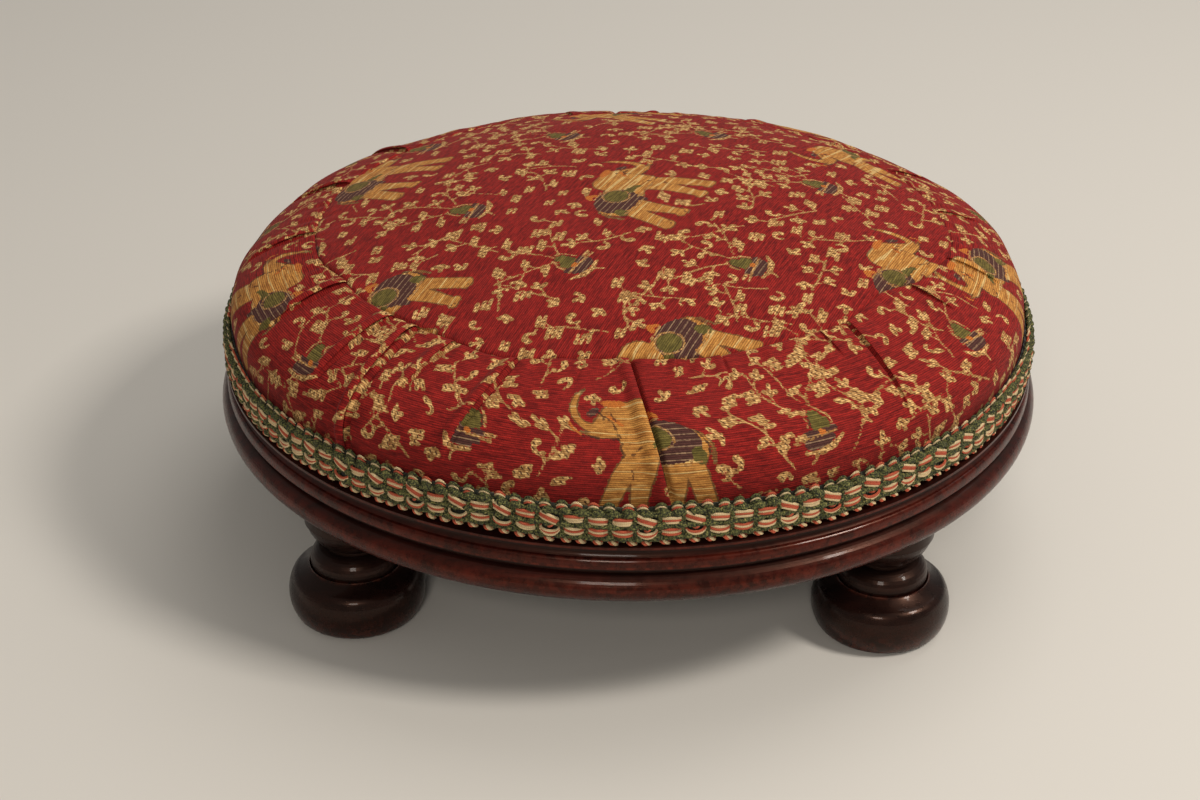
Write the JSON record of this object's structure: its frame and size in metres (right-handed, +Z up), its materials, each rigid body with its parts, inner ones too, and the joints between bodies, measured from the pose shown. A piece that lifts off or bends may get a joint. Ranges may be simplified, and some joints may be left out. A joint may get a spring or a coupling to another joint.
{
  "type": "footstool",
  "caption": "Low round footstool: moulded hardwood ring on turned bun feet, with a domed stuffed pad, tucked tapestry cover and gimp braid.",
  "frame": {"origin": "on the floor, under the middle of the ring", "axes": "+Z up; the feet stand on the diagonals, and -Y is the side that the picture shows"},
  "size_m": [0.3048, 0.3048, 0.1242],
  "materials": {
    "mahogany": "satin, french polished, dark red-brown",
    "dowel_wood": "bare beech",
    "jute_webbing": "coarse herringbone jute",
    "hessian": "coarse plain weave",
    "fibre_stuffing": "curled brown fibre",
    "calico": "unbleached plain weave",
    "cotton_wadding": "soft unspun cotton",
    "cover_tapestry": "ribbed crimson tapestry with a woven figure",
    "gimp_braid": "green chenille with cream and coral bundles",
    "bottom_cloth": "black cambric",
    "blued_steel": "blued tack steel"
  },
  "bodies": {
    "root": {"rim_front_left": "mahogany", "rim_front_right": "mahogany", "rim_back_right": "mahogany", "rim_back_left": "mahogany", "rim_dowels": "dowel_wood", "foot_front_left": "mahogany", "foot_front_right": "mahogany", "foot_back_right": "mahogany", "foot_back_left": "mahogany", "webbing_across_front": "jute_webbing", "webbing_across_middle": "jute_webbing", "webbing_across_back": "jute_webbing", "webbing_along_left": "jute_webbing", "webbing_along_middle": "jute_webbing", "webbing_along_right": "jute_webbing", "webbing_tacks": "blued_steel", "hessian": "hessian", "hessian_tacks": "blued_steel", "stuffing": "fibre_stuffing", "calico_cover": "calico", "calico_tacks": "blued_steel", "wadding": "cotton_wadding", "cover_top_panel": "cover_tapestry", "cover_side_band": "cover_tapestry", "cover_tacks": "blued_steel", "gimp_braid": "gimp_braid", "gimp_pins": "blued_steel", "bottom_cloth": "bottom_cloth", "bottom_cloth_tacks": "blued_steel"}
  },
  "joints": []
}
